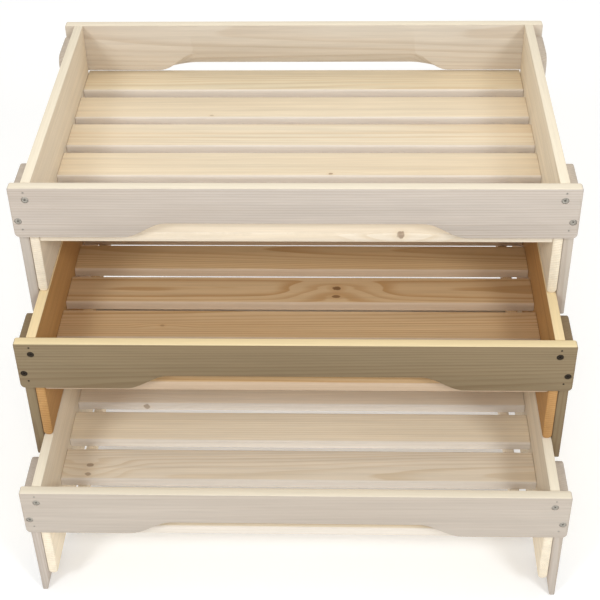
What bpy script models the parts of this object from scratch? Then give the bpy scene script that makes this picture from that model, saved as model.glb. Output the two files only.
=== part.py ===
"""Stack of three slatted wooden storage trays, each a set of separate boards held by screws.

Metres, +Z up. The origin is on the floor, in the middle of the stack's outline. The front faces -Y.
Every tray is the same design. Each lower tray stands further forward than the one above it, and
the legs of the upper tray straddle the side boards of the lower one.
"""

from math import cos, pi, sin

import bpy

# Driving dimensions
TRAY_WIDTH = 0.650
TRAY_DEPTH = 0.410
INNER_WIDTH = 0.600
BOARD = 0.012  # thickness of every board
RAIL_HEIGHT = 0.069
TIER_RISE = 0.158  # rim to rim, going up the stack
TIER_SETBACK = 0.086  # each tray stands this much behind the one below
FOOT_DROP = 0.032  # how far a leg reaches past its side board
LEG_WIDTH = 0.068
LEG_SETDOWN = 0.012  # top of a leg below the rim
FLOOR_DEPTH = 0.071  # top of the slats below the rim
EDGE_SLAT_WIDTH = 0.057  # the slat beside the rail
SLAT_WIDTH = 0.0545
SLAT_PITCH = 0.070
SLAT_GAP = 0.0145  # before the closing slat
INNER_SLATS = 4
# The slats are nailed by eye, so the first two start at slightly different places in each tray
EDGE_SLAT = {"bottom": 0.014, "middle": 0.014, "top": 0.006}
SECOND_SLAT = {"bottom": 0.0920, "middle": 0.0967, "top": 0.0810}
BATTEN_INSET = 0.021  # from a side board's inner face
BATTEN_HEIGHT = 0.018
BATTEN_END_GAP = 0.033  # batten ends stay this far inside the rails
ARCH_FOOT = 0.200  # half width of the rail's cut-out at its bottom edge
ARCH_FLAT = 0.147  # half width of the cut-out's flat top
ARCH_HEIGHT = 0.020
GRIP_INNER = 0.027  # the rear rail's cut-out is a slanted finger grip: height inside
GRIP_OUTER = 0.006  # and outside
SCREW_HEAD_R = 0.004
SCREW_SHANK_R = 0.002
SCREW_LENGTH = 0.038
SCREW_CONE = 0.0025  # depth of the countersunk head
SCREW_FLOAT = 0.0003  # clear space round each screw
UPPER_SCREW_DEPTH = 0.0165  # screws below the rim
LOWER_SCREW_DEPTH = 0.0460
TOUCH = 0.0003  # clear space between boards that touch

TRAYS = ("bottom", "middle", "top")
SIDES = (("left", -1), ("right", 1))
RIM_TO_FOOT = TIER_RISE + FOOT_DROP

PALE_PINE = (0.78, 0.69, 0.54)
OILED_PINE = (0.50, 0.32, 0.13)
ZINC = (0.55, 0.54, 0.52)
BLACK_OXIDE = (0.03, 0.03, 0.03)


def clear_scene():
    for item in list(bpy.data.objects):
        bpy.data.objects.remove(item, do_unlink=True)


def make_material(name, colour, roughness, metallic=0.0):
    material = bpy.data.materials.new(name)
    material.use_nodes = True
    shader = material.node_tree.nodes["Principled BSDF"]
    shader.inputs["Base Color"].default_value = (*colour, 1.0)
    shader.inputs["Roughness"].default_value = roughness
    shader.inputs["Metallic"].default_value = metallic
    material.diffuse_color = (*colour, 1.0)
    return material


def add_tray_empty(name, place):
    """The parent of a whole tray, on the upright line along which the tray lifts."""
    empty = bpy.data.objects.new(name, None)
    empty.location = place
    bpy.context.collection.objects.link(empty)
    return empty


def add_mesh(name, points, faces, place, parent, finish=None):
    """An object with its own origin at place in its parent's frame, and its own copy of a finish."""
    mesh = bpy.data.meshes.new(name)
    mesh.from_pydata(points, [], faces)
    mesh.validate()
    item = bpy.data.objects.new(name, mesh)
    item.parent = parent
    item.location = place
    bpy.context.collection.objects.link(item)
    if finish is not None:
        own_finish = finish.copy()
        own_finish.name = name + "_" + finish.name
        mesh.materials.append(own_finish)
    return item


def loft(name, rings, place, parent, finish=None):
    """A closed body through rings of points, all with the same count, capped at both ends."""
    count = len(rings[0])
    points = [point for ring in rings for point in ring]
    faces = [tuple(reversed(range(count)))]
    for ring in range(len(rings) - 1):
        low = ring * count
        high = low + count
        for step in range(count):
            following = (step + 1) % count
            faces.append((low + step, low + following, high + following, high + step))
    last = (len(rings) - 1) * count
    faces.append(tuple(range(last, last + count)))
    return add_mesh(name, points, faces, place, parent, finish)


def along_y(outline, y):
    """A ring in an X-Z plane. Outlines run clockwise seen from the front, so that faces look outward."""
    return [(x, y, z) for x, z in outline]


def along_x(outline, x):
    return [(x, y, z) for y, z in outline]


def rounded_box(low_a, high_a, low_b, high_b, radii, steps=4):
    """Outline of a rectangle with a radius at each corner: low-low, low-high, high-high, high-low."""
    corners = (
        (low_a, low_b, 1, 1, pi * 1.5, radii[0]),
        (low_a, high_b, 1, -1, pi, radii[1]),
        (high_a, high_b, -1, -1, pi * 0.5, radii[2]),
        (high_a, low_b, -1, 1, 0.0, radii[3]),
    )
    outline = []
    for a, b, toward_a, toward_b, start, radius in corners:
        centre_a = a + toward_a * radius
        centre_b = b + toward_b * radius
        for step in range(steps + 1):
            angle = start - step / steps * pi / 2
            outline.append((centre_a + radius * cos(angle), centre_b + radius * sin(angle)))
    return outline


def rail_outline(arch_height):
    """Outline of a rail seen from the front, with the long shallow cut-out in its bottom edge."""
    half = TRAY_WIDTH / 2
    body = rounded_box(-half, half, -RAIL_HEIGHT, 0.0, (0.006, 0.003, 0.003, 0.006))
    curve_steps = 12
    arch = []
    for step in range(curve_steps + 1):
        part = step / curve_steps
        rise = arch_height * (1 - cos(pi * part)) / 2
        arch.append((ARCH_FOOT + (ARCH_FLAT - ARCH_FOOT) * part, rise - RAIL_HEIGHT))
    mirrored = [(-x, z) for x, z in reversed(arch)]
    return body + arch + mirrored


def add_rail(name, tray, y, outer_arch, inner_arch, faces_front, wood):
    """A rail from y to y plus one board. The outer face is the one that looks away from the tray."""
    front = outer_arch if faces_front else inner_arch
    rear = inner_arch if faces_front else outer_arch
    rings = [along_y(rail_outline(front), 0.0), along_y(rail_outline(rear), BOARD)]
    return loft(name, rings, (0.0, y, 0.0), tray, wood)


def add_side(name, tray, side, wood):
    """A tall side board: tray wall above the floor, and below it the skirt that stands on the next rim."""
    inner = INNER_WIDTH / 2
    outer = inner + BOARD - TOUCH
    low, high = sorted((side * inner, side * outer))
    outline = rounded_box(low, high, TOUCH - TIER_RISE, 0.0, (0.004, 0.0015, 0.0015, 0.004))
    start = BOARD + TOUCH
    end = TRAY_DEPTH - BOARD - TOUCH
    rings = [along_y(outline, 0.0), along_y(outline, end - start)]
    return loft(name, rings, (0.0, start, 0.0), tray, wood)


def add_leg(name, tray, side, y, wood):
    """An outer leg, with rounded top corners and a foot thinned on the inside for easy stacking."""
    inner = INNER_WIDTH / 2 + BOARD
    outer = inner + BOARD
    low, high = sorted((side * inner, side * outer))
    top = -LEG_SETDOWN
    bottom = -RIM_TO_FOOT
    outline = rounded_box(0.0, LEG_WIDTH, bottom, top, (0.003, 0.010, 0.010, 0.003))
    rings = [along_x(outline, high), along_x(outline, low)]
    place = (0.0, y, 0.0)
    leg = loft(name, rings, place, tray, wood)
    taper_start = bottom + FOOT_DROP - 0.002
    taper = 0.0055
    over = 0.006
    wedge = [
        (side * (inner - over), taper_start),
        (side * inner, taper_start),
        (side * (inner + taper), bottom),
        (side * (inner + taper), bottom - over),
        (side * (inner - over), bottom - over),
    ]
    if side < 0:
        wedge.reverse()
    rings = [along_y(wedge, -over), along_y(wedge, LEG_WIDTH + over)]
    cut(leg, loft(name + "_taper_cutter", rings, place, tray))
    return leg


def slat_starts(label, turned):
    """Front edges of the slats and their widths. The narrow closing slat is at one end of the floor."""
    inner_rear = TRAY_DEPTH - BOARD - TOUCH
    floor = [(EDGE_SLAT[label], EDGE_SLAT_WIDTH)]
    for step in range(INNER_SLATS):
        floor.append((SECOND_SLAT[label] + step * SLAT_PITCH, SLAT_WIDTH))
    closing = floor[-1][0] + SLAT_WIDTH + SLAT_GAP
    floor.append((closing, inner_rear - closing))
    if turned:
        floor = [(TRAY_DEPTH - start - width, width) for start, width in reversed(floor)]
    return floor


def add_slat(name, tray, y, width, wood):
    half = INNER_WIDTH / 2 - TOUCH
    outline = rounded_box(0.0, width, -BOARD, 0.0, (0.003,) * 4)
    rings = [along_x(outline, half), along_x(outline, -half)]
    return loft(name, rings, (0.0, y, -FLOOR_DEPTH), tray, wood)


def add_batten(name, tray, side, wood):
    centre = side * (INNER_WIDTH / 2 - BATTEN_INSET - BOARD / 2)
    outline = rounded_box(-BOARD / 2, BOARD / 2, -BATTEN_HEIGHT, 0.0, (0.002,) * 4, steps=2)
    length = TRAY_DEPTH - 2 * (BOARD + BATTEN_END_GAP)
    rings = [along_y(outline, 0.0), along_y(outline, length)]
    place = (centre, BOARD + BATTEN_END_GAP, -FLOOR_DEPTH - BOARD - TOUCH)
    return loft(name, rings, place, tray, wood)


def lathe_y(name, profile, place, parent, finish=None, steps=24):
    """A turned body along +Y. The profile holds (radius, y) pairs from the front to the rear."""
    rings = []
    for radius, y in profile:
        ring = []
        for step in range(steps):
            angle = -2 * pi * step / steps
            ring.append((radius * cos(angle), y, radius * sin(angle)))
        rings.append(ring)
    return loft(name, rings, place, parent, finish)


def cut(body, cutter):
    """Takes the cutter's shape out of the body and keeps the cutter as a hidden helper."""
    modifier = body.modifiers.new("cut_" + cutter.name, "BOOLEAN")
    modifier.operation = "DIFFERENCE"
    modifier.solver = "EXACT"
    modifier.object = cutter
    cutter.hide_render = True
    cutter.display_type = "WIRE"


def add_screw(name, tray, place, metal, boards):
    """A countersunk screw driven along +Y, and its hole with clear space in the boards it passes."""
    profile = [
        (SCREW_HEAD_R, 0.0),
        (SCREW_SHANK_R, SCREW_CONE),
        (SCREW_SHANK_R, SCREW_LENGTH - 0.004),
        (0.0006, SCREW_LENGTH),
    ]
    sunk = (place[0], place[1] + 0.0004, place[2])
    lathe_y(name, profile, sunk, tray, metal)
    hole = [
        (SCREW_HEAD_R + SCREW_FLOAT, -0.003),
        (SCREW_HEAD_R + SCREW_FLOAT, 0.0003),
        (SCREW_SHANK_R + SCREW_FLOAT, SCREW_CONE + 0.0007),
        (SCREW_SHANK_R + SCREW_FLOAT, SCREW_LENGTH + 0.002),
    ]
    cutter = lathe_y(name + "_hole_cutter", hole, place, tray)
    for board in boards:
        cut(board, cutter)


def add_tray(label, place, wood, metal, turned):
    """One whole tray. Place is the middle of the front rail's top outer edge."""
    tray = add_tray_empty(f"{label}_tray", place)
    front = add_rail(f"{label}_front_rail", tray, 0.0, ARCH_HEIGHT, ARCH_HEIGHT, True, wood)
    rear_y = TRAY_DEPTH - BOARD
    add_rail(f"{label}_rear_rail", tray, rear_y, GRIP_OUTER, GRIP_INNER, False, wood)
    for hand, side in SIDES:
        board = add_side(f"{label}_side_{hand}", tray, side, wood)
        leg_start = BOARD + TOUCH
        leg = add_leg(f"{label}_leg_front_{hand}", tray, side, leg_start, wood)
        rear_start = TRAY_DEPTH - leg_start - LEG_WIDTH
        add_leg(f"{label}_leg_rear_{hand}", tray, side, rear_start, wood)
        add_batten(f"{label}_batten_{hand}", tray, side, wood)
        board_middle = side * (INNER_WIDTH + BOARD) / 2
        leg_middle = side * (INNER_WIDTH + 3 * BOARD) / 2
        screws = (
            ("upper", board_middle, UPPER_SCREW_DEPTH, board),
            ("lower", leg_middle, LOWER_SCREW_DEPTH, leg),
        )
        for level, x, depth, receiver in screws:
            add_screw(f"{label}_screw_{level}_{hand}", tray, (x, 0.0, -depth), metal, (front, receiver))
    for number, (start, width) in enumerate(slat_starts(label, turned), 1):
        add_slat(f"{label}_slat_{number}", tray, start, width, wood)


def main():
    clear_scene()
    pale = make_material("pale_pine", PALE_PINE, 0.62)
    oiled = make_material("oiled_pine", OILED_PINE, 0.45)
    zinc = make_material("zinc_screw", ZINC, 0.35, 1.0)
    black = make_material("black_screw", BLACK_OXIDE, 0.4, 1.0)
    finishes = {"bottom": (pale, zinc), "middle": (oiled, black), "top": (pale, zinc)}
    stack_depth = TRAY_DEPTH + (len(TRAYS) - 1) * TIER_SETBACK
    for level, tray in enumerate(TRAYS):
        y = level * TIER_SETBACK - stack_depth / 2
        z = RIM_TO_FOOT + level * TIER_RISE
        wood, metal = finishes[tray]
        add_tray(tray, (0.0, y, z), wood, metal, turned=tray == "top")


main()
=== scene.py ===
"""Looks of a stack of slatted wooden storage trays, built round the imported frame.

Every board is cut from a block the size of its node, rounded and given its own plank of pine, with
growth rings that run through the whole board. Metres, +Z up, the front of the trays faces -Y.
"""

from math import cos, pi, radians, sin
from random import Random

import bpy
from mathutils import Euler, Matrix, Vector


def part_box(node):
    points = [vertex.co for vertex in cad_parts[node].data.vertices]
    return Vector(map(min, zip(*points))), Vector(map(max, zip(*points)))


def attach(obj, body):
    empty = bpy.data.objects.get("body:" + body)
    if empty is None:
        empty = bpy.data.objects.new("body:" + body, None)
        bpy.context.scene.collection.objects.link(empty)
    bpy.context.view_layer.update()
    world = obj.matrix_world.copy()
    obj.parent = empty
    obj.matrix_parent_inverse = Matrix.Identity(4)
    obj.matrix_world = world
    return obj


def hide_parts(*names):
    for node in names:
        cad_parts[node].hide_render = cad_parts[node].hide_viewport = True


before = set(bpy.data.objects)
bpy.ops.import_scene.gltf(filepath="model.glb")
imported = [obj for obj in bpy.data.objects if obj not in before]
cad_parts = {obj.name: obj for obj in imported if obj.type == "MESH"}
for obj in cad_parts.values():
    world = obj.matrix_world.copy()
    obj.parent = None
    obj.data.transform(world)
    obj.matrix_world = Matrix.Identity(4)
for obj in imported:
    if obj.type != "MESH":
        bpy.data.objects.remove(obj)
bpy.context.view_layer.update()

bl_info = {
    "name": "Slatted Tray Stack",
    "version": (1, 0, 0),
    "blender": (4, 5, 0),
    "location": "3D View > Sidebar > Trays",
    "description": "Builds the boards, fasteners and stage of a stack of slatted wooden trays",
    "category": "Add Mesh",
}

TRAYS = ("bottom", "middle", "top")
HANDS = (("left", -1), ("right", 1))
SLATS = range(1, 7)
GRAIN_TURNS = {"x": (0.0, 0.0, 0.0), "y": (0.0, 0.0, -pi / 2), "z": (0.0, pi / 2, 0.0)}

# Knots: board, place on it, radius, how far drawn out along the grain, and how dark
KNOTS = (
    ("top_slat_1", (0.1235, -0.105, 0.4325), 0.0050, 1.0, 0.85),
    ("top_slat_3", (0.041, 0.020, 0.435), 0.0022, 1.4, 0.75),
    ("top_slat_5", (-0.118, 0.160, 0.435), 0.0020, 1.5, 0.45),
    ("middle_slat_3", (0.0485, -0.008, 0.277), 0.0042, 1.5, 0.95),
    ("middle_slat_3", (0.0475, -0.025, 0.277), 0.0034, 1.7, 0.90),
    ("middle_slat_2", (-0.170, -0.085, 0.277), 0.0020, 1.6, 0.45),
    ("bottom_slat_4", (-0.207, -0.0580, 0.113), 0.0050, 1.0, 0.80),
    ("bottom_slat_2", (-0.2655, -0.1746, 0.119), 0.0034, 1.5, 0.75),
    ("bottom_slat_2", (-0.2660, -0.1905, 0.119), 0.0030, 1.5, 0.70),
    ("middle_rear_rail", (0.120, 0.195, 0.320), 0.0060, 1.3, 0.80),
    ("top_side_left", (-0.312, 0.060, 0.470), 0.0055, 1.3, 0.70),
    ("bottom_leg_front_right", (0.324, -0.245, 0.110), 0.0050, 1.3, 0.75),
    ("middle_side_right", (0.312, 0.040, 0.250), 0.0060, 1.4, 0.85),
    ("bottom_rear_rail", (-0.160, 0.119, 0.150), 0.0055, 1.4, 0.70),
)

# Fasteners: sizes in metres, heads and holes as radius and height or depth
SCREW_HOLE = (0.0043, 0.0034)
BRAD_HOLE = (0.0013, 0.0008)
BRAD_HEAD = (0.0012, 0.0006)
NAIL_HEAD = (0.0017, 0.0008)
RAIL_SCREW_LENGTH = 0.030
LEG_SCREW_LENGTH = 0.013
LEG_SCREWS = ((0.034, -0.012), (0.112, 0.012))  # drop from the rim, and shift along the tray
NAIL_SPREAD = 0.012  # from the middle of a slat to each of its nails

# Depths at which the painted highlight on a board's top rim, and the painted front light on a slat's long
# faces, begin and are full
RIM_HIGHLIGHT_BAND = (0.0014, 0.0004)
FACE_LIGHT_BAND = (0.0026, 0.0012)

WARM = (1.0, 0.93, 0.76)
COOL = (0.92, 0.97, 1.0)

# Lamps: name, place, the point it looks at, size, watts, tint
LAMPS = (
    ("left_soft_box", (-1.22, -1.85, 1.85), (0, 0, 0.25), 0.6, 21, COOL),
    ("right_soft_box", (1.30, -1.80, 1.85), (0, 0, 0.25), 0.6, 21, COOL),
    ("front_soft_box", (0.06, -1.80, 1.80), (0, 0, 0.25), 0.5, 8, (0.95, 0.98, 1.0)),
    ("top_soft_box", (0.1, 0.3, 3.2), (0, 0, 0.25), 2.4, 23, WARM),
    ("floor_soft_box", (0.0, 3.4, 3.2), (0, 2.4, 0), 3.0, 45, (1.0, 1.0, 1.0)),
)


def linear(red, green, blue):
    """A colour given as screen values from 0 to 255, as the shaders read it."""
    values = []
    for value in (red, green, blue):
        part = value / 255
        values.append(part / 12.92 if part <= 0.04045 else ((part + 0.055) / 1.055) ** 2.4)
    return tuple(values)


class TrayShape(bpy.types.PropertyGroup):
    edge_round: bpy.props.FloatProperty(
        name="Edge Rounding",
        description="Radius of the sanded edges of rails, sides, legs and battens",
        default=0.0012, min=0.0002, subtype="DISTANCE", unit="LENGTH", precision=4,
    )
    slat_round: bpy.props.FloatProperty(
        name="Slat Rounding",
        description="Radius of a slat's upper long edges; the lower ones are nearly sharp",
        default=0.003, min=0.0005, subtype="DISTANCE", unit="LENGTH", precision=4,
    )
    skirt_round: bpy.props.FloatProperty(
        name="Skirt Rounding",
        description="Radius of a side board's lower edges, which stand on the next rim",
        default=0.0053, min=0.0005, subtype="DISTANCE", unit="LENGTH", precision=4,
    )
    rail_corner_low: bpy.props.FloatProperty(
        name="Lower Rail Corner",
        description="Radius of a rail's lower corners",
        default=0.006, min=0.001, subtype="DISTANCE", unit="LENGTH", precision=4,
    )
    rail_corner_high: bpy.props.FloatProperty(
        name="Upper Rail Corner",
        description="Radius of a rail's upper corners",
        default=0.003, min=0.001, subtype="DISTANCE", unit="LENGTH", precision=4,
    )
    leg_corner: bpy.props.FloatProperty(
        name="Leg Corner",
        description="Radius of a leg's top corners",
        default=0.014, min=0.001, subtype="DISTANCE", unit="LENGTH", precision=4,
    )
    arch_foot: bpy.props.FloatProperty(
        name="Arch Half Width",
        description="Half width of a rail's cut-out at its bottom edge",
        default=0.200, subtype="DISTANCE", unit="LENGTH",
    )
    arch_flat: bpy.props.FloatProperty(
        name="Arch Flat Half Width",
        description="Half width of the flat top of a rail's cut-out",
        default=0.147, subtype="DISTANCE", unit="LENGTH",
    )
    arch_height: bpy.props.FloatProperty(
        name="Arch Height",
        description="Height of the front rail's cut-out",
        default=0.020, subtype="DISTANCE", unit="LENGTH",
    )
    grip_inner: bpy.props.FloatProperty(
        name="Grip Inner Height",
        description="Height of the rear rail's slanted grip on its inner face",
        default=0.027, subtype="DISTANCE", unit="LENGTH",
    )
    grip_outer: bpy.props.FloatProperty(
        name="Grip Outer Height",
        description="Height of the rear rail's slanted grip on its outer face",
        default=0.006, subtype="DISTANCE", unit="LENGTH",
    )
    arch_steps: bpy.props.IntProperty(
        name="Arch Steps",
        description="Steps in each curved end of a cut-out",
        default=14,
        min=4,
    )
    foot_drop: bpy.props.FloatProperty(
        name="Foot Length",
        description="How far a leg reaches past its side board",
        default=0.032, subtype="DISTANCE", unit="LENGTH",
    )
    foot_taper: bpy.props.FloatProperty(
        name="Foot Taper",
        description="How much thinner the foot is at its end, taken off its inner face",
        default=0.0055, subtype="DISTANCE", unit="LENGTH",
    )


class TrayFinish(bpy.types.PropertyGroup):
    pale_early: bpy.props.FloatVectorProperty(
        name="Pale Pine",
        description="Early wood of the top tray's floor and the pale battens",
        default=linear(226, 211, 185), subtype="COLOR", min=0, max=1,
    )
    pale_late: bpy.props.FloatVectorProperty(
        name="Pale Pine Grain",
        description="Grain lines of the top tray's floor and the pale battens",
        default=linear(214, 190, 156), subtype="COLOR", min=0, max=1,
    )
    washed_early: bpy.props.FloatVectorProperty(
        name="Washed Pine",
        description="Cooler early wood of the pale rails and legs",
        default=linear(195, 183, 171), subtype="COLOR", min=0, max=1,
    )
    washed_late: bpy.props.FloatVectorProperty(
        name="Washed Pine Grain",
        description="Cooler grain lines of the pale rails and legs",
        default=linear(179, 162, 145), subtype="COLOR", min=0, max=1,
    )
    golden_early: bpy.props.FloatVectorProperty(
        name="Golden Pine",
        description="Early wood of the oiled tray's slats",
        default=linear(210, 178, 137), subtype="COLOR", min=0, max=1,
    )
    golden_late: bpy.props.FloatVectorProperty(
        name="Golden Pine Grain",
        description="Grain lines of the oiled tray's slats",
        default=linear(183, 141, 91), subtype="COLOR", min=0, max=1,
    )
    tan_early: bpy.props.FloatVectorProperty(
        name="Tan Pine",
        description="Early wood of the oiled tray's rails and legs",
        default=linear(141, 123, 94), subtype="COLOR", min=0, max=1,
    )
    tan_late: bpy.props.FloatVectorProperty(
        name="Tan Pine Grain",
        description="Grain lines of the oiled tray's rails and legs",
        default=linear(120, 97, 68), subtype="COLOR", min=0, max=1,
    )
    # Painted highlight: lighter colours for the top edges of rails and sides, where light catches them
    pale_rim_highlight: bpy.props.FloatVectorProperty(
        name="Pale Rim Highlight",
        description="Painted highlight on the top edge of the pale rails and sides",
        default=linear(232, 220, 198), subtype="COLOR", min=0, max=1,
    )
    tan_rim_highlight: bpy.props.FloatVectorProperty(
        name="Tan Rim Highlight",
        description="Painted highlight on the top edge of the oiled rails and sides",
        default=linear(240, 218, 172), subtype="COLOR", min=0, max=1,
    )
    # Painted light: a lighter copy of the pale pine for the pale trays' shaded sides, their closing slats,
    # and the bottom tray's floor and battens
    lit_wall_early: bpy.props.FloatVectorProperty(
        name="Pale Wall",
        description="Lightened early wood, painted light on the pale trays' sides and the bottom tray's floor",
        default=linear(240, 226, 204), subtype="COLOR", min=0, max=1,
    )
    lit_wall_late: bpy.props.FloatVectorProperty(
        name="Pale Wall Grain",
        description="Lightened grain lines, painted light on the pale trays' sides and the bottom tray's floor",
        default=linear(226, 206, 176), subtype="COLOR", min=0, max=1,
    )
    # Painted shade: a darker, more saturated copy of the golden pine for the oiled tray's sides and its
    # closing slat
    shaded_oiled_wall_early: bpy.props.FloatVectorProperty(
        name="Oiled Wall",
        description="Darker, more saturated early wood, painted shade on the oiled tray's sides",
        default=linear(196, 150, 94), subtype="COLOR", min=0, max=1,
    )
    shaded_oiled_wall_late: bpy.props.FloatVectorProperty(
        name="Oiled Wall Grain",
        description="Darker grain lines, painted shade on the oiled tray's sides",
        default=linear(170, 118, 62), subtype="COLOR", min=0, max=1,
    )
    rear_early: bpy.props.FloatVectorProperty(
        name="Rear Rail Pine",
        description="Early wood of the pale rear rails",
        default=linear(216, 204, 188), subtype="COLOR", min=0, max=1,
    )
    rear_late: bpy.props.FloatVectorProperty(
        name="Rear Rail Grain",
        description="Grain lines of the pale rear rails",
        default=linear(201, 184, 164), subtype="COLOR", min=0, max=1,
    )
    # Painted front light: lighter, cooler colours for the slats' long faces, where front light falls on them
    pale_slat_edge: bpy.props.FloatVectorProperty(
        name="Pale Slat Face Light",
        description="Painted front light on the long faces of the pale trays' slats",
        default=linear(224, 214, 204), subtype="COLOR", min=0, max=1,
    )
    oiled_slat_edge: bpy.props.FloatVectorProperty(
        name="Oiled Slat Face Light",
        description="Painted front light on the long faces of the oiled tray's slats",
        default=linear(200, 177, 154), subtype="COLOR", min=0, max=1,
    )
    ring_spacing: bpy.props.FloatProperty(
        name="Ring Spacing",
        description="Mean distance between growth rings",
        default=0.0030, min=0.001, subtype="DISTANCE", unit="LENGTH", precision=4,
    )
    zinc: bpy.props.FloatVectorProperty(
        name="Zinc",
        description="Colour of the plated screws",
        default=linear(172, 166, 156), subtype="COLOR", min=0, max=1,
    )
    black_oxide: bpy.props.FloatVectorProperty(
        name="Black Oxide",
        description="Colour of the blackened screws",
        default=linear(52, 42, 30), subtype="COLOR", min=0, max=1,
    )


# Meshes


def only_nothing():
    """Leaves nothing selected, in object mode."""
    if bpy.context.mode != "OBJECT":
        bpy.ops.object.mode_set(mode="OBJECT")
    bpy.ops.object.select_all(action="DESELECT")


def only(item):
    """Leaves this one object selected and active, in object mode."""
    only_nothing()
    item.select_set(True)
    bpy.context.view_layer.objects.active = item


def settle(item):
    """Puts the object's place into its mesh."""
    only(item)
    bpy.ops.object.transform_apply(location=True, rotation=True, scale=True)


def block(name, low, high):
    """An unshaped board between two corners."""
    only_nothing()
    middle = (Vector(low) + Vector(high)) / 2
    bpy.ops.mesh.primitive_cube_add(size=1, location=middle)
    item = bpy.context.active_object
    item.name = name
    item.data.name = name
    item.scale = Vector(high) - Vector(low)
    settle(item)
    return item


def choose(item, kind, wanted):
    """Enters edit mode with only the wanted points, edges or faces selected. Says whether there are any."""
    only(item)
    mesh = item.data
    for parts in (mesh.vertices, mesh.edges, mesh.polygons):
        parts.foreach_set("select", [False] * len(parts))
    places = [point.co.copy() for point in mesh.vertices]
    if kind == "VERT":
        chosen = [point for point in mesh.vertices if wanted(point.co)]
    elif kind == "EDGE":
        chosen = [edge for edge in mesh.edges if wanted(*(places[i] for i in edge.vertices))]
    else:
        chosen = [face for face in mesh.polygons if wanted(face.center, face.normal)]
    for part in chosen:
        part.select = True
    bpy.context.tool_settings.mesh_select_mode = (kind == "VERT", kind == "EDGE", kind == "FACE")
    bpy.ops.object.mode_set(mode="EDIT")
    return bool(chosen)


def done():
    bpy.ops.object.mode_set(mode="OBJECT")


def slice_across(item, axis, places):
    """Cuts a board's skin with planes across the axis, so that it can be shaped there."""
    normal = [0.0, 0.0, 0.0]
    normal[axis] = 1.0
    only(item)
    bpy.ops.object.mode_set(mode="EDIT")
    for place in places:
        bpy.ops.mesh.select_all(action="SELECT")
        point = [0.0, 0.0, 0.0]
        point[axis] = place
        bpy.ops.mesh.bisect(plane_co=point, plane_no=normal)
    done()


def round_edges(item, radius, steps, wanted):
    if not choose(item, "EDGE", wanted):
        raise RuntimeError(f"{item.name} has no edge to round")
    bpy.ops.mesh.bevel(offset=radius, segments=steps, profile=0.5, affect="EDGES")
    done()


def soften(item, width, steps=2):
    """Sands every remaining sharp edge and shades the board."""
    only(item)
    modifier = item.modifiers.new("sanded edges", "BEVEL")
    modifier.width = width
    modifier.segments = steps
    modifier.limit_method = "ANGLE"
    modifier.angle_limit = radians(32)
    bpy.ops.object.modifier_apply(modifier=modifier.name)
    bpy.ops.object.shade_smooth_by_angle(angle=radians(38))


def cut_away(item, cutter):
    """Cuts the cutter's shape out of the item and throws the cutter away."""
    only(item)
    modifier = item.modifiers.new("hole", "BOOLEAN")
    modifier.operation = "DIFFERENCE"
    modifier.solver = "EXACT"
    modifier.object = cutter
    bpy.ops.object.modifier_apply(modifier=modifier.name)
    bpy.data.objects.remove(cutter, do_unlink=True)


def drill(item, places, hole, direction):
    """Round holes along Y, each from a place on the face into the board."""
    radius, depth = hole
    for x, y, z in places:
        only_nothing()
        centre = (x, y + direction * (depth - 0.002) / 2, z)
        bpy.ops.mesh.primitive_cylinder_add(
            vertices=32, radius=radius, depth=depth + 0.002, location=centre, rotation=(pi / 2, 0, 0)
        )
        cutter = bpy.context.active_object
        settle(cutter)
        cut_away(item, cutter)


def near(value, target, slack=0.00005):
    return abs(value - target) < slack


def parallel(a, b, axis):
    """Whether the edge from a to b runs along the axis."""
    return all(near(a[i], b[i]) for i in range(3) if i != axis)


def finish_piece(item, tray, nodes):
    """Ties a finished piece to its tray, and hides the nodes it stands in for."""
    for node in nodes:
        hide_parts(node)
    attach(item, f"{tray}_tray")


# Shader nodes


def new_group(name, inputs, outputs):
    """A shader node group with named sockets, and its input and output nodes."""
    tree = bpy.data.node_groups.new(name, "ShaderNodeTree")
    kinds = {"vector": "NodeSocketVector", "value": "NodeSocketFloat"}
    for label, kind, default in inputs:
        socket = tree.interface.new_socket(label, in_out="INPUT", socket_type=kinds[kind])
        if default is not None:
            socket.default_value = default
    for label, kind in outputs:
        tree.interface.new_socket(label, in_out="OUTPUT", socket_type=kinds[kind])
    return tree, tree.nodes.new("NodeGroupInput"), tree.nodes.new("NodeGroupOutput")


def feed(tree, source, socket):
    """Links a socket, or sets a plain value."""
    if isinstance(source, bpy.types.NodeSocket):
        tree.links.new(source, socket)
    else:
        socket.default_value = source


def sums(tree, operation, *sources):
    node = tree.nodes.new("ShaderNodeMath")
    node.operation = operation
    for source, socket in zip(sources, node.inputs):
        feed(tree, source, socket)
    return node.outputs[0]


def vectors(tree, operation, *sources):
    node = tree.nodes.new("ShaderNodeVectorMath")
    node.operation = operation
    for source, socket in zip(sources, node.inputs):
        feed(tree, source, socket)
    return node.outputs["Value" if operation == "LENGTH" else "Vector"]


def parts_of(tree, vector):
    node = tree.nodes.new("ShaderNodeSeparateXYZ")
    tree.links.new(vector, node.inputs[0])
    return node.outputs


def vector_of(tree, *parts):
    node = tree.nodes.new("ShaderNodeCombineXYZ")
    for source, socket in zip(parts, node.inputs):
        feed(tree, source, socket)
    return node.outputs[0]


def scaled(tree, value, low, high, to_low=0.0, to_high=1.0, smooth=True):
    node = tree.nodes.new("ShaderNodeMapRange")
    node.interpolation_type = "SMOOTHSTEP" if smooth else "LINEAR"
    for source, label in ((value, "Value"), (low, "From Min"), (high, "From Max")):
        feed(tree, source, node.inputs[label])
    feed(tree, to_low, node.inputs["To Min"])
    feed(tree, to_high, node.inputs["To Max"])
    return node.outputs["Result"]


def mixed(tree, amount, first, second, blend="MIX"):
    node = tree.nodes.new("ShaderNodeMix")
    node.data_type = "RGBA"
    node.blend_type = blend
    feed(tree, amount, node.inputs[0])
    feed(tree, first, node.inputs[6])
    feed(tree, second, node.inputs[7])
    return node.outputs[2]


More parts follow.
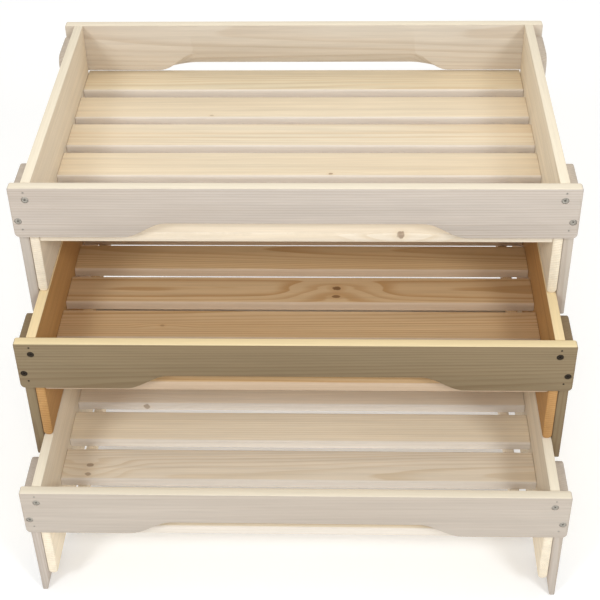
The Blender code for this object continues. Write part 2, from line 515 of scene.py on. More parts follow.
def noise(tree, vector, stretch, detail=2.0, roughness=0.5):
    node = tree.nodes.new("ShaderNodeTexNoise")
    node.inputs["Scale"].default_value = 1.0
    node.inputs["Detail"].default_value = detail
    node.inputs["Roughness"].default_value = roughness
    feed(tree, vectors(tree, "MULTIPLY", vector, stretch), node.inputs["Vector"])
    return node.outputs["Fac"]


def build_growth_rings():
    """Rings of a log whose heart runs along X through the origin, for boards with their grain along X."""
    inputs = (
        ("Vector", "vector", None),
        ("Ring Spacing", "value", 0.0042),
        ("Waviness", "value", 0.010),
        ("Knot Push", "value", 0.0),
    )
    outputs = (("Late Wood", "value"), ("Fibre", "value"), ("Streak", "value"), ("Tone", "value"))
    tree, start, end = new_group("Growth rings", inputs, outputs)
    place = start.outputs["Vector"]
    wander = noise(tree, place, (1.3, 7.0, 7.0))
    flutter = noise(tree, place, (7.0, 60.0, 60.0))
    _, y, z = parts_of(tree, place)
    radius = vectors(tree, "LENGTH", vector_of(tree, 0.0, y, z))
    swing = sums(tree, "MULTIPLY_ADD", sums(tree, "SUBTRACT", wander, 0.5), start.outputs["Waviness"], radius)
    little = sums(tree, "MULTIPLY", start.outputs["Waviness"], 0.14)
    shaken = sums(tree, "MULTIPLY_ADD", sums(tree, "SUBTRACT", flutter, 0.5), little, swing)
    pushed = sums(tree, "ADD", shaken, start.outputs["Knot Push"])
    phase = sums(tree, "FRACT", sums(tree, "DIVIDE", pushed, start.outputs["Ring Spacing"]))
    rise = scaled(tree, phase, 0.35, 0.90)
    fall = scaled(tree, phase, 0.92, 1.0, 1.0, 0.0)
    late = sums(tree, "MULTIPLY", rise, fall)
    year = sums(tree, "FLOOR", sums(tree, "DIVIDE", pushed, start.outputs["Ring Spacing"]))
    strong_years = tree.nodes.new("ShaderNodeTexWhiteNoise")
    strong_years.noise_dimensions = "1D"
    tree.links.new(year, strong_years.inputs["W"])
    strength = scaled(tree, strong_years.outputs["Value"], 0.0, 1.0, 0.45, 1.0, smooth=False)
    tree.links.new(sums(tree, "MULTIPLY", late, strength), end.inputs["Late Wood"])
    fibre = noise(tree, place, (16.0, 620.0, 620.0), detail=3.0, roughness=0.6)
    streak = noise(tree, place, (3.5, 130.0, 130.0), detail=3.0, roughness=0.55)
    tone = noise(tree, place, (2.2, 14.0, 14.0), detail=2.0)
    tree.links.new(fibre, end.inputs["Fibre"])
    tree.links.new(streak, end.inputs["Streak"])
    tree.links.new(tone, end.inputs["Tone"])
    return tree


def build_knot():
    """One knot: its dark eye, the ring round it, and how far it pushes the growth rings aside."""
    inputs = (
        ("Vector", "vector", None),
        ("Centre", "vector", (0.0, 0.0, 0.0)),
        ("Radius", "value", 0.005),
        ("Stretch", "value", 1.4),
    )
    outputs = (("Eye", "value"), ("Rim", "value"), ("Push", "value"))
    tree, start, end = new_group("Knot", inputs, outputs)
    offset = vectors(tree, "SUBTRACT", start.outputs["Vector"], start.outputs["Centre"])
    ragged = noise(tree, start.outputs["Vector"], (260.0, 260.0, 260.0))
    x, y, z = parts_of(tree, offset)
    stretch = start.outputs["Stretch"]
    span = vectors(tree, "LENGTH", vector_of(tree, sums(tree, "DIVIDE", x, stretch), y, z))
    reach = sums(tree, "DIVIDE", span, start.outputs["Radius"])
    rough_reach = sums(tree, "MULTIPLY_ADD", sums(tree, "SUBTRACT", ragged, 0.5), 0.7, reach)
    tree.links.new(scaled(tree, rough_reach, 0.72, 1.08, 1.0, 0.0), end.inputs["Eye"])
    outer = scaled(tree, rough_reach, 1.0, 2.6, 1.0, 0.0)
    tree.links.new(outer, end.inputs["Rim"])
    # The rings give way over a longer stretch of the board than the knot itself
    drawn = sums(tree, "DIVIDE", sums(tree, "MULTIPLY", x, 0.3), stretch)
    far_span = vectors(tree, "LENGTH", vector_of(tree, drawn, y, z))
    far = sums(tree, "DIVIDE", far_span, start.outputs["Radius"])
    calm = scaled(tree, far, 0.3, 5.0, 1.0, 0.0)
    push = sums(tree, "MULTIPLY", calm, sums(tree, "MULTIPLY", start.outputs["Radius"], 0.9))
    tree.links.new(push, end.inputs["Push"])
    return tree


def build_edge_wear():
    """Mask of the worn strip along a board's edges, from its half size and its own centred place."""
    inputs = (
        ("Vector", "vector", None),
        ("Half Size", "vector", (0.3, 0.03, 0.006)),
        ("Reach", "value", 0.003),
    )
    tree, start, end = new_group("Edge wear", inputs, (("Wear", "value"),))
    flat = vectors(tree, "ABSOLUTE", start.outputs["Vector"])
    inside = vectors(tree, "SUBTRACT", start.outputs["Half Size"], flat)
    x, y, z = parts_of(tree, inside)
    lesser = sums(tree, "MINIMUM", x, y)
    greater = sums(tree, "MAXIMUM", x, y)
    edge = sums(tree, "MAXIMUM", lesser, sums(tree, "MINIMUM", greater, z))
    patchy = noise(tree, start.outputs["Vector"], (35.0, 35.0, 35.0), detail=4.0, roughness=0.7)
    reach = sums(tree, "MULTIPLY", start.outputs["Reach"], scaled(tree, patchy, 0.35, 0.7, 0.15, 1.3))
    near_edge = scaled(tree, sums(tree, "DIVIDE", edge, reach), 0.2, 1.0, 1.0, 0.0)
    tree.links.new(near_edge, end.inputs["Wear"])
    return tree


def group_node(tree, shader_group, **values):
    """A shared group in this tree, with its sockets fed by their names in lower case."""
    node = tree.nodes.new("ShaderNodeGroup")
    node.node_tree = shader_group
    for label, source in values.items():
        feed(tree, source, node.inputs[label.replace("_", " ").title()])
    return node


def shared_group(name, builder):
    return bpy.data.node_groups.get(name) or builder()


def heart_angle(chance, grain, thin, cut):
    """Where the log's heart lies round a board: beside it for straight lines, behind it for broad figure."""
    behind = {("x", "z"): pi / 2, ("x", "y"): 0.0, ("y", "x"): 0.0, ("z", "x"): pi / 2}[grain, thin]
    swing = {"straight": (radians(66), radians(86)), "broad": (0.0, radians(24))}[cut]
    return behind + chance.choice((-1, 1)) * chance.uniform(*swing) + chance.choice((0, pi))


def knot_masks(tree, vector, knots):
    """The eyes, the rims and the push of a board's knots together, or None three times without knots."""
    eye = None
    rim = None
    push = None
    for centre, radius, stretch, dark in knots:
        knot = group_node(
            tree,
            shared_group("Knot", build_knot),
            vector=vector,
            centre=centre,
            radius=radius,
            stretch=stretch,
        )
        this_eye = sums(tree, "MULTIPLY", knot.outputs["Eye"], dark)
        this_rim = sums(tree, "MULTIPLY", knot.outputs["Rim"], dark * 0.55)
        push = knot.outputs["Push"] if push is None else sums(tree, "ADD", push, knot.outputs["Push"])
        eye = this_eye if eye is None else sums(tree, "MAXIMUM", eye, this_eye)
        rim = this_rim if rim is None else sums(tree, "MAXIMUM", rim, this_rim)
    return eye, rim, push


def plank_material(board, low, high, grain, pair, painted_rim_highlight, face_light_tint, contrast, cut, knots):
    """Pine for one board, cut from its own place in its own log. Grain is the axis it runs along."""
    early, late = pair
    chance = Random(board)
    finish = bpy.context.scene.tray_finish
    material = bpy.data.materials.new(board + "_pine")
    material.use_nodes = True
    tree = material.node_tree
    shader = tree.nodes["Principled BSDF"]
    middle = (Vector(low) + Vector(high)) / 2
    half = (Vector(high) - Vector(low)) / 2
    coordinates = tree.nodes.new("ShaderNodeTexCoord")
    centred = vectors(tree, "SUBTRACT", coordinates.outputs["Object"], tuple(middle))

    # The log lies beside the board, with its heart some way behind one of the faces and a little askew
    turn = GRAIN_TURNS[grain]
    lean = (chance.uniform(-0.008, 0.008), chance.uniform(-0.012, 0.012))
    thin = "xyz"[min(range(3), key=lambda i: half[i])]
    around = heart_angle(chance, grain, thin, cut)
    heart = chance.uniform(0.050, 0.130)
    along = tree.nodes.new("ShaderNodeMapping")
    along.inputs["Rotation"].default_value = turn
    tree.links.new(centred, along.inputs["Vector"])
    in_log = tree.nodes.new("ShaderNodeMapping")
    heart_place = (chance.uniform(2, 40), heart * cos(around), heart * sin(around))
    in_log.inputs["Location"].default_value = heart_place
    in_log.inputs["Rotation"].default_value = (0.0, lean[0], lean[1])
    tree.links.new(along.outputs["Vector"], in_log.inputs["Vector"])

    rotation = Euler(turn).to_matrix()
    placed = [(tuple(rotation @ (Vector(place) - middle)), *rest) for place, *rest in knots]
    eye, rim, push = knot_masks(tree, along.outputs["Vector"], placed)

    spread = (0.55, 0.80) if cut == "broad" else (0.75, 1.30)
    rings = group_node(
        tree,
        shared_group("Growth rings", build_growth_rings),
        vector=in_log.outputs["Vector"],
        ring_spacing=finish.ring_spacing * chance.uniform(*spread),
        waviness=chance.uniform(0.004, 0.010),
        knot_push=push if push is not None else 0.0,
    )
    tint = chance.uniform(0.955, 1.03)
    warmth = chance.uniform(0.975, 1.02)
    early = (early[0] * tint, early[1] * tint, early[2] * tint / warmth, 1.0)
    late = (late[0] * tint, late[1] * tint, late[2] * tint / warmth, 1.0)
    grain_amount = sums(tree, "MULTIPLY", rings.outputs["Late Wood"], contrast)
    wood = mixed(tree, grain_amount, early, late)
    streaks = scaled(tree, rings.outputs["Streak"], 0.3, 0.7, 1 - 0.11 * contrast, 1.05, smooth=False)
    wood = mixed(tree, 1.0, wood, streaks, "MULTIPLY")
    fibres = scaled(tree, rings.outputs["Fibre"], 0.3, 0.7, 0.95, 1.04, smooth=False)
    wood = mixed(tree, 1.0, wood, fibres, "MULTIPLY")
    tones = scaled(tree, rings.outputs["Tone"], 0.3, 0.75, 0.0, 0.32)
    wood = mixed(tree, tones, wood, late)
    if eye is not None:
        bark = tuple(channel * share for channel, share in zip(late[:3], (0.42, 0.36, 0.34)))
        wood = mixed(tree, rim, wood, late)
        wood = mixed(tree, eye, wood, (*bark, 1.0))
    wear = group_node(
        tree,
        shared_group("Edge wear", build_edge_wear),
        vector=centred,
        half_size=tuple(half),
        reach=0.0030,
    )
    worn = tuple(channel * 0.80 for channel in late[:3])
    wear_amount = sums(tree, "MULTIPLY", wear.outputs["Wear"], 0.28)
    wood = mixed(tree, wear_amount, wood, (*worn, 1.0))
    # Painted highlight along the top edge of rails and sides, where light catches them
    if painted_rim_highlight is not None:
        height = parts_of(tree, coordinates.outputs["Object"])["Z"]
        begins, full = (high[2] - depth for depth in RIM_HIGHLIGHT_BAND)
        highlight_share = scaled(tree, height, begins, full, 0.0, 0.85)
        highlighted_wood = mixed(tree, 1.0, (*painted_rim_highlight, 1.0), fibres, "MULTIPLY")
        wood = mixed(tree, highlight_share, wood, highlighted_wood)
    # Painted front light: a slat's long faces and their rounded edges get a lighter, cooler colour
    if face_light_tint is not None:
        reach = sums(tree, "ABSOLUTE", parts_of(tree, centred)["Y"])
        begins, full = (half[1] - depth for depth in FACE_LIGHT_BAND)
        painted_face_light = scaled(tree, reach, begins, full, 0.0, 0.75)
        lit_face_wood = mixed(tree, 1.0, (*face_light_tint, 1.0), fibres, "MULTIPLY")
        if eye is not None:
            lit_face_wood = mixed(tree, eye, lit_face_wood, wood)
        wood = mixed(tree, painted_face_light, wood, lit_face_wood)
    tree.links.new(wood, shader.inputs["Base Color"])

    gloss = scaled(tree, rings.outputs["Late Wood"], 0.0, 1.0, 0.66, 0.52, smooth=False)
    tree.links.new(gloss, shader.inputs["Roughness"])
    shader.inputs["Specular IOR Level"].default_value = 0.32
    relief = sums(tree, "MULTIPLY_ADD", rings.outputs["Fibre"], 0.6, rings.outputs["Late Wood"])
    bump = tree.nodes.new("ShaderNodeBump")
    bump.inputs["Strength"].default_value = 0.35
    bump.inputs["Distance"].default_value = 0.0002
    tree.links.new(relief, bump.inputs["Height"])
    tree.links.new(bump.outputs["Normal"], shader.inputs["Normal"])
    return material


def plank(item, tray, node, grain, kind, contrast=1.0, cut="broad", rim=False, painted_face_light=False):
    """Gives a finished board its own pine. Kind is floor, wall, face or rear.

    Rim paints a highlight along the top edge of a board; the last flag paints lighter, cooler front light on
    the long faces of a slat.
    """
    finish = bpy.context.scene.tray_finish
    pale = {
        "floor": (finish.pale_early, finish.pale_late),
        "wall": (finish.lit_wall_early, finish.lit_wall_late),
        "face": (finish.washed_early, finish.washed_late),
        "rear": (finish.rear_early, finish.rear_late),
    }
    oiled = {
        "floor": (finish.golden_early, finish.golden_late),
        "wall": (finish.shaded_oiled_wall_early, finish.shaded_oiled_wall_late),
        "face": (finish.tan_early, finish.tan_late),
        "rear": (finish.tan_early, finish.tan_late),
    }
    pair = (oiled if tray == "middle" else pale)[kind]
    # Painted light: the bottom tray's floor and battens, in the middle tray's shade, take the lighter wall
    # colours
    if tray == "bottom" and kind == "floor":
        pair = (finish.lit_wall_early, finish.lit_wall_late)
    knots = [entry[1:] for entry in KNOTS if entry[0] == node]
    low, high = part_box(node)
    painted_rim_highlight = None
    if rim:
        painted_rim_highlight = tuple(finish.tan_rim_highlight if tray == "middle" else finish.pale_rim_highlight)
    face_light_tint = None
    if painted_face_light:
        face_light_tint = tuple(finish.oiled_slat_edge if tray == "middle" else finish.pale_slat_edge)
    material = plank_material(node, low, high, grain, pair, painted_rim_highlight, face_light_tint, contrast, cut, knots)
    item.data.materials.clear()
    item.data.materials.append(material)


def metal_material(name, colour, roughness, metallic):
    """Plated or blackened steel with fine scuffs."""
    found = bpy.data.materials.get(name)
    if found is not None:
        return found
    material = bpy.data.materials.new(name)
    material.use_nodes = True
    tree = material.node_tree
    shader = tree.nodes["Principled BSDF"]
    coordinates = tree.nodes.new("ShaderNodeTexCoord")
    place = coordinates.outputs["Object"]
    scuffs = noise(tree, place, (900.0, 900.0, 900.0), detail=3.0, roughness=0.65)
    dull = tuple(channel * 0.62 for channel in colour)
    amount = scaled(tree, scuffs, 0.38, 0.66)
    tree.links.new(mixed(tree, amount, (*colour, 1.0), (*dull, 1.0)), shader.inputs["Base Color"])
    rough = scaled(tree, scuffs, 0.3, 0.7, roughness - 0.08, roughness + 0.14, smooth=False)
    tree.links.new(rough, shader.inputs["Roughness"])
    shader.inputs["Metallic"].default_value = metallic
    bump = tree.nodes.new("ShaderNodeBump")
    bump.inputs["Strength"].default_value = 0.2
    bump.inputs["Distance"].default_value = 0.00005
    tree.links.new(scuffs, bump.inputs["Height"])
    tree.links.new(bump.outputs["Normal"], shader.inputs["Normal"])
    return material


def screw_metal(tray):
    finish = bpy.context.scene.tray_finish
    if tray == "middle":
        return metal_material("black_oxide_steel", tuple(finish.black_oxide), 0.5, 0.7)
    return metal_material("zinc_plated_steel", tuple(finish.zinc), 0.38, 0.9)


# Boards


def arch_stations(shape):
    """X places and heights, as shares from 0 to 1, of the points along a rail's cut-out."""
    stations = []
    for step in range(shape.arch_steps + 1):
        share = step / shape.arch_steps
        x = shape.arch_foot + (shape.arch_flat - shape.arch_foot) * share
        stations.append((x, (1 - cos(pi * share)) / 2))
    return stations


def fastener_places(tray):
    """Screw places on a tray's front rail, read from the screws' own nodes, and the brads beside them."""
    screws = []
    brads = []
    rail_low, rail_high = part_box(f"{tray}_front_rail")
    for hand, side in HANDS:
        for level in ("upper", "lower"):
            low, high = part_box(f"{tray}_screw_{level}_{hand}")
            screws.append(((low.x + high.x) / 2, rail_low.y, (low.z + high.z) / 2))
        upper = screws[-2]
        lower = screws[-1]
        brads.append((upper[0] + side * 0.001, rail_low.y, rail_high.z - 0.0065))
        brads.append((lower[0] - side * 0.004, rail_low.y, rail_high.z - 0.0575))
    return screws, brads


def add_rail(tray, end):
    shape = bpy.context.scene.tray_shape
    node = f"{tray}_{end}_rail"
    low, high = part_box(node)
    item = block(node + "_board", low, high)
    stations = arch_stations(shape)
    cuts = [side * x for x, _ in stations for side in (-1, 1)]
    slice_across(item, 0, cuts)
    heights = {low.y: shape.arch_height, high.y: shape.arch_height}
    if end == "rear":
        heights = {low.y: shape.grip_inner, high.y: shape.grip_outer}
    for face_y, height in heights.items():
        for x, share in stations[1:]:
            choose(
                item,
                "VERT",
                lambda p: near(abs(p.x), x) and near(p.y, face_y) and near(p.z, low.z),
            )
            bpy.ops.transform.translate(value=(0, 0, height * share))
            done()
    for radius, steps, height in (
        (shape.rail_corner_low, 5, low.z),
        (shape.rail_corner_high, 4, high.z),
    ):
        round_edges(
            item,
            radius,
            steps,
            lambda a, b: parallel(a, b, 1) and near(a.z, height) and abs(a.x) > high.x - 0.0001,
        )
    soften(item, shape.edge_round)
    screws, brads = fastener_places(tray)
    if end == "rear":
        screws = [(x, high.y, z) for x, _, z in screws]
        brads = [(x, high.y, z) for x, _, z in brads]
    direction = 1 if end == "front" else -1
    drill(item, screws, SCREW_HOLE, direction)
    drill(item, brads, BRAD_HOLE, direction)
    cut = "broad" if (tray, end) in (("middle", "front"), ("top", "rear")) else "straight"
    kind = "face" if end == "front" else "rear"
    plank(item, tray, node, "x", kind, contrast=0.8, cut=cut, rim=True)
    finish_piece(item, tray, (node,))


def add_side(tray, hand):
    shape = bpy.context.scene.tray_shape
    node = f"{tray}_side_{hand}"
    low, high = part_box(node)
    item = block(node + "_board", low, high)
    round_edges(item, shape.skirt_round, 5, lambda a, b: parallel(a, b, 1) and near(a.z, low.z))
    soften(item, shape.edge_round)
    plank(item, tray, node, "y", "wall", contrast=0.8, cut="straight", rim=True)
    finish_piece(item, tray, (node,))


def add_leg(tray, end, hand, side):
    shape = bpy.context.scene.tray_shape
    node = f"{tray}_leg_{end}_{hand}"
    low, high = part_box(node)
    item = block(node + "_board", low, high)
    taper_start = low.z + shape.foot_drop - 0.002
    slice_across(item, 2, [taper_start])
    inner_x = low.x if side > 0 else high.x
    choose(item, "VERT", lambda p: near(p.x, inner_x) and near(p.z, low.z))
    bpy.ops.transform.translate(value=(side * shape.foot_taper, 0, 0))
    done()
    round_edges(item, shape.leg_corner, 6, lambda a, b: parallel(a, b, 0) and near(a.z, high.z))
    soften(item, shape.edge_round)
    plank(item, tray, node, "z", "face", contrast=0.9, cut="straight")
    finish_piece(item, tray, (node,))


def add_slat(tray, number):
    shape = bpy.context.scene.tray_shape
    node = f"{tray}_slat_{number}"
    low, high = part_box(node)
    item = block(node + "_board", low, high)
    round_edges(item, shape.slat_round, 5, lambda a, b: parallel(a, b, 0) and near(a.z, high.z))
    soften(item, 0.0008)
    cut = "broad" if Random(node + "_cut").random() < 0.6 else "straight"
    # The narrow slat that closes the floor takes the walls' colours and no painted front light on its faces:
    # painted shade on the oiled tray, where the upper tray shadows it, and the lightened colours, painted
    # light, on the pale trays
    closing = number == (1 if tray == "top" else 6)
    plank(item, tray, node, "x", "wall" if closing else "floor", cut=cut, painted_face_light=not closing)
    finish_piece(item, tray, (node,))


def add_batten(tray, hand):
    shape = bpy.context.scene.tray_shape
    node = f"{tray}_batten_{hand}"
    low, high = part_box(node)
    item = block(node + "_board", low, high)
    soften(item, shape.edge_round * 1.4, 3)
    plank(item, tray, node, "y", "floor", contrast=0.9)
    finish_piece(item, tray, (node,))


# Fasteners


def model_screw(shank):
    """A countersunk cross-recess screw at the origin, its head at y = 0 and its shank along +Y."""
    only_nothing()
    bpy.ops.mesh.primitive_circle_add(vertices=32, radius=0.0037, fill_type="NGON", rotation=(pi / 2, 0, 0))
    item = bpy.context.active_object
    item.name = "screw_pattern"
    settle(item)
    only(item)
    bpy.ops.object.mode_set(mode="EDIT")
    bpy.ops.mesh.select_all(action="SELECT")
    steps = ((0.00025, 0.0040), (0.0003, 0.0040), (0.0021, 0.0020), (shank, 0.0020), (0.0045, 0.0007))
    radius = 0.0037
    for length, wider in steps:
        bpy.ops.mesh.extrude_region_move(TRANSFORM_OT_translate={"value": (0, length, 0)})
        ratio = wider / radius
        centre = (0, 0, 0)
        bpy.ops.transform.resize(value=(ratio, 1, ratio), center_override=centre)
        radius = wider
    bpy.ops.mesh.select_all(action="SELECT")
    bpy.ops.mesh.normals_make_consistent(inside=False)
    done()
    for turn in (0, pi / 2):
        only_nothing()
        bpy.ops.mesh.primitive_cube_add(size=1)
        slot = bpy.context.active_object
        slot.scale = (0.0046, 0.0032, 0.0009)
        slot.rotation_euler = (0, turn + pi / 5, 0)
        settle(slot)
        choose(slot, "FACE", lambda centre, normal: normal.y > 0.9)
        bpy.ops.transform.resize(value=(0.45, 1, 0.45), center_override=(0, 0, 0))
        done()
        cut_away(item, slot)
    bpy.ops.object.shade_smooth_by_angle(angle=radians(30))
    return item


def model_head(name, radius, height):
    """A small round head at the origin that looks along -Y, with a softened rim and a dished middle."""
    only_nothing()
    bpy.ops.mesh.primitive_cylinder_add(
        vertices=20, radius=radius, depth=height, location=(0, height / 2, 0), rotation=(pi / 2, 0, 0)
    )
    item = bpy.context.active_object
    item.name = name
    settle(item)
    choose(item, "FACE", lambda centre, normal: normal.y < -0.9)
    bpy.ops.mesh.inset(thickness=radius * 0.28)
    bpy.ops.mesh.inset(thickness=radius * 0.30)
    bpy.ops.transform.translate(value=(0, height * 0.22, 0))
    done()
    soften(item, radius * 0.12)
    return item


def copies(pattern, name, places, facing=(0, -1, 0)):
    """One piece made of copies of a pattern at the places. The pattern's face looks along -Y."""
    made = []
    turns = {(0, -1, 0): 0, (0, 1, 0): pi, (1, 0, 0): pi / 2, (-1, 0, 0): -pi / 2}
    for place in places:
        only(pattern)
        bpy.ops.object.duplicate()
        item = bpy.context.active_object
        if facing == (0, 0, -1):
            item.rotation_euler = (pi / 2, 0, 0)
        else:
            item.rotation_euler = (0, 0, turns[facing])
        item.location = place
        settle(item)
        made.append(item)
    only_nothing()
    for item in made:
        item.select_set(True)
    bpy.context.view_layer.objects.active = made[0]
    if len(made) > 1:
        bpy.ops.object.join()
    joined = bpy.context.active_object
    joined.name = name
    joined.data.name = name
    return joined


def finish_metal(item, tray, nodes=()):
    item.data.materials.clear()
    item.data.materials.append(screw_metal(tray))
    finish_piece(item, tray, nodes)


# Operators


class TRAYS_OT_rails(bpy.types.Operator):
    """Build the front and rear rails with their long cut-outs and screw holes"""

    bl_idname = "trays.rails"
    bl_label = "Rails"

    def execute(self, context):
        for tray in TRAYS:
            for end in ("front", "rear"):
                add_rail(tray, end)
        return {"FINISHED"}


class TRAYS_OT_sides(bpy.types.Operator):
    """Build the tall side boards with their rounded lower edges"""

    bl_idname = "trays.sides"
    bl_label = "Side Boards"

    def execute(self, context):
        for tray in TRAYS:
            for hand, _ in HANDS:
                add_side(tray, hand)
        return {"FINISHED"}


class TRAYS_OT_legs(bpy.types.Operator):
    """Build the outer legs with rounded tops and thinned feet"""

    bl_idname = "trays.legs"
    bl_label = "Legs"

    def execute(self, context):
        for tray in TRAYS:
            for end in ("front", "rear"):
                for hand, side in HANDS:
                    add_leg(tray, end, hand, side)
        return {"FINISHED"}


class TRAYS_OT_slats(bpy.types.Operator):
    """Build the floor slats"""

    bl_idname = "trays.slats"
    bl_label = "Floor Slats"

    def execute(self, context):
        for tray in TRAYS:
            for number in SLATS:
                add_slat(tray, number)
        return {"FINISHED"}


class TRAYS_OT_battens(bpy.types.Operator):
    """Build the battens under the floor"""

    bl_idname = "trays.battens"
    bl_label = "Battens"

    def execute(self, context):
        for tray in TRAYS:
            for hand, _ in HANDS:
                add_batten(tray, hand)
        return {"FINISHED"}


class TRAYS_OT_rail_screws(bpy.types.Operator):
    """Drive the screws and brads of the front and rear rails"""

    bl_idname = "trays.rail_screws"
    bl_label = "Rail Screws and Brads"

    def execute(self, context):
        screw = model_screw(RAIL_SCREW_LENGTH)
        brad = model_head("brad_pattern", *BRAD_HEAD)
        for tray in TRAYS:
            screws, brads = fastener_places(tray)
            rear_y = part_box(f"{tray}_rear_rail")[1].y
            names = [f"{tray}_screw_{level}_{hand}" for hand, _ in HANDS for level in ("upper", "lower")]
            for node, (x, y, z) in zip(names, screws):
                piece = copies(screw, node + "_driven", [(x, y + 0.0005, z)])
                finish_metal(piece, tray, (node,))
            rear = (0, 1, 0)
            rear_places = [(x, rear_y - 0.0005, z) for x, _, z in screws]
            back = copies(screw, f"{tray}_rear_screws", rear_places, rear)
            front_places = [(x, y + 0.0002, z) for x, y, z in brads]
            front_brads = copies(brad, f"{tray}_front_brads", front_places)
            rear_places = [(x, rear_y - 0.0002, z) for x, _, z in brads]
            back_brads = copies(brad, f"{tray}_rear_brads", rear_places, rear)
            for piece in (back, front_brads, back_brads):
                finish_metal(piece, tray)
        for pattern in (screw, brad):
            bpy.data.objects.remove(pattern, do_unlink=True)
        return {"FINISHED"}


class TRAYS_OT_hidden_fasteners(bpy.types.Operator):
    """Drive the leg screws, and the nails that hold the slats to the sides and battens"""

    bl_idname = "trays.hidden_fasteners"
    bl_label = "Leg Screws and Slat Nails"

    def execute(self, context):
        screw = model_screw(LEG_SCREW_LENGTH)
        nail = model_head("nail_pattern", *NAIL_HEAD)
        for tray in TRAYS:
            rails_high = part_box(f"{tray}_front_rail")[1].z
            for hand, side in HANDS:
                facing = (side, 0, 0)
                leg_screws = []
                for end in ("front", "rear"):
                    low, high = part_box(f"{tray}_leg_{end}_{hand}")
                    outer = high.x if side > 0 else low.x
                    y = (low.y + high.y) / 2
                    for drop, shift in LEG_SCREWS:
                        leg_screws.append((outer + side * 0.0002, y + shift, rails_high - drop))
                screws = copies(screw, f"{tray}_leg_screws_{hand}", leg_screws, facing)
                low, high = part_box(f"{tray}_side_{hand}")
                outer = high.x if side > 0 else low.x
                first_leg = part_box(f"{tray}_leg_front_{hand}")[1].y
                last_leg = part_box(f"{tray}_leg_rear_{hand}")[0].y
                batten_low, batten_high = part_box(f"{tray}_batten_{hand}")
                end_nails = []
                batten_nails = []
                for number in SLATS:
                    slat_low, slat_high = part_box(f"{tray}_slat_{number}")
                    z = (slat_low.z + slat_high.z) / 2
                    middle = (slat_low.y + slat_high.y) / 2
                    for y in (middle - NAIL_SPREAD, middle + NAIL_SPREAD):
                        if first_leg + 0.003 < y < last_leg - 0.003:
                            end_nails.append((outer + side * 0.0001, y, z))
                    if batten_low.y + 0.006 < middle < batten_high.y - 0.006:
                        x = (batten_low.x + batten_high.x) / 2
                        batten_nails.append((x, middle, batten_low.z - 0.0001))
                ends = copies(nail, f"{tray}_slat_nails_{hand}", end_nails, facing)
                under = copies(nail, f"{tray}_batten_nails_{hand}", batten_nails, (0, 0, -1))
                for piece in (screws, ends, under):
                    finish_metal(piece, tray)
        for pattern in (screw, nail):
            bpy.data.objects.remove(pattern, do_unlink=True)
        return {"FINISHED"}


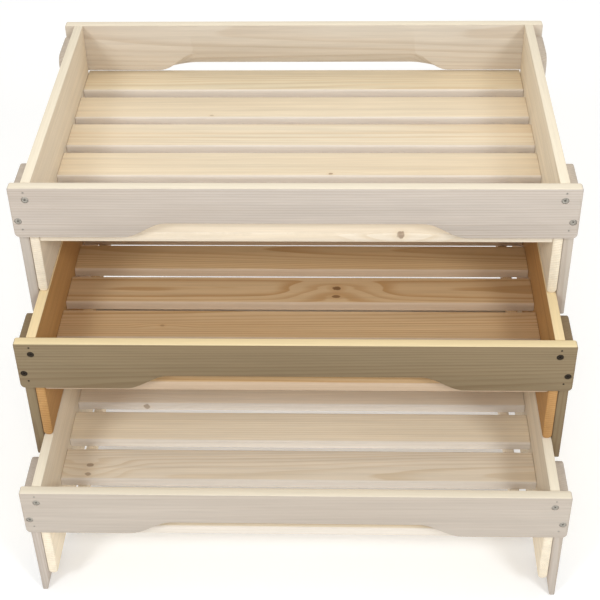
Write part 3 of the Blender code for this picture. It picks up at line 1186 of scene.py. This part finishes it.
class TRAYS_OT_stage(bpy.types.Operator):
    """Set up the pale floor, the soft light and the camera"""

    bl_idname = "trays.stage"
    bl_label = "Stage"

    def execute(self, context):
        only_nothing()
        bpy.ops.mesh.primitive_plane_add(size=40, location=(0, 0, -0.0005))
        floor = context.active_object
        floor.name = "stage_floor"
        settle(floor)
        paper = bpy.data.materials.new("white_paper")
        paper.use_nodes = True
        shader = paper.node_tree.nodes["Principled BSDF"]
        shader.inputs["Base Color"].default_value = (0.93, 0.93, 0.93, 1)
        shader.inputs["Roughness"].default_value = 0.9
        shader.inputs["Specular IOR Level"].default_value = 0.1
        shader.inputs["Emission Color"].default_value = (1, 1, 1, 1)
        shader.inputs["Emission Strength"].default_value = 0.16
        floor.data.materials.append(paper)

        world = bpy.data.worlds.new("studio")
        world.use_nodes = True
        world.node_tree.nodes["Background"].inputs["Color"].default_value = (0.97, 0.98, 1, 1)
        world.node_tree.nodes["Background"].inputs["Strength"].default_value = 0.43
        context.scene.world = world

        for name, place, target, size, power, tint in LAMPS:
            bpy.ops.object.light_add(type="AREA", location=place)
            lamp = context.active_object
            lamp.name = name
            lamp.data.shape = "SQUARE"
            lamp.data.size = size
            lamp.data.energy = power
            lamp.data.color = tint
            aim = Vector(target) - Vector(place)
            lamp.rotation_euler = aim.to_track_quat("-Z", "Y").to_euler()

        bpy.ops.object.camera_add(location=(0.0574, -1.3605, 1.3360))
        camera = context.active_object
        camera.name = "camera"
        # Nearly level with the rails, looking down into the trays
        pan, tilt, roll = radians(-2.409), radians(38.548), radians(-1.262)
        ahead = Vector((sin(pan) * cos(tilt), cos(pan) * cos(tilt), -sin(tilt)))
        camera.rotation_mode = "QUATERNION"
        level = ahead.to_track_quat("-Z", "Y")
        camera.rotation_quaternion = level @ Euler((0, 0, roll)).to_quaternion()
        camera.data.lens = 79.57
        camera.data.sensor_width = 36
        camera.data.clip_end = 60
        context.scene.camera = camera
        context.scene.view_settings.view_transform = "Standard"
        context.scene.view_settings.look = "None"
        context.scene.view_settings.exposure = 0.0
        return {"FINISHED"}


BUILD_ORDER = (
    TRAYS_OT_rails,
    TRAYS_OT_sides,
    TRAYS_OT_legs,
    TRAYS_OT_slats,
    TRAYS_OT_battens,
    TRAYS_OT_rail_screws,
    TRAYS_OT_hidden_fasteners,
    TRAYS_OT_stage,
)


class TRAYS_PT_panel(bpy.types.Panel):
    bl_idname = "TRAYS_PT_panel"
    bl_label = "Slatted Trays"
    bl_space_type = "VIEW_3D"
    bl_region_type = "UI"
    bl_category = "Trays"

    def draw(self, context):
        column = self.layout.column()
        for settings in (context.scene.tray_shape, context.scene.tray_finish):
            for label in settings.__annotations__:
                column.prop(settings, label)
        for operator in BUILD_ORDER:
            column.operator(operator.bl_idname)


CLASSES = (TrayShape, TrayFinish, *BUILD_ORDER, TRAYS_PT_panel)


def register():
    for item in CLASSES:
        bpy.utils.register_class(item)
    bpy.types.Scene.tray_shape = bpy.props.PointerProperty(type=TrayShape)
    bpy.types.Scene.tray_finish = bpy.props.PointerProperty(type=TrayFinish)


def unregister():
    del bpy.types.Scene.tray_finish
    del bpy.types.Scene.tray_shape
    for item in reversed(CLASSES):
        bpy.utils.unregister_class(item)


def main():
    register()
    bpy.ops.trays.rails()
    bpy.ops.trays.sides()
    bpy.ops.trays.legs()
    bpy.ops.trays.slats()
    bpy.ops.trays.battens()
    bpy.ops.trays.rail_screws()
    bpy.ops.trays.hidden_fasteners()
    bpy.ops.trays.stage()


if __name__ == "__main__":
    main()
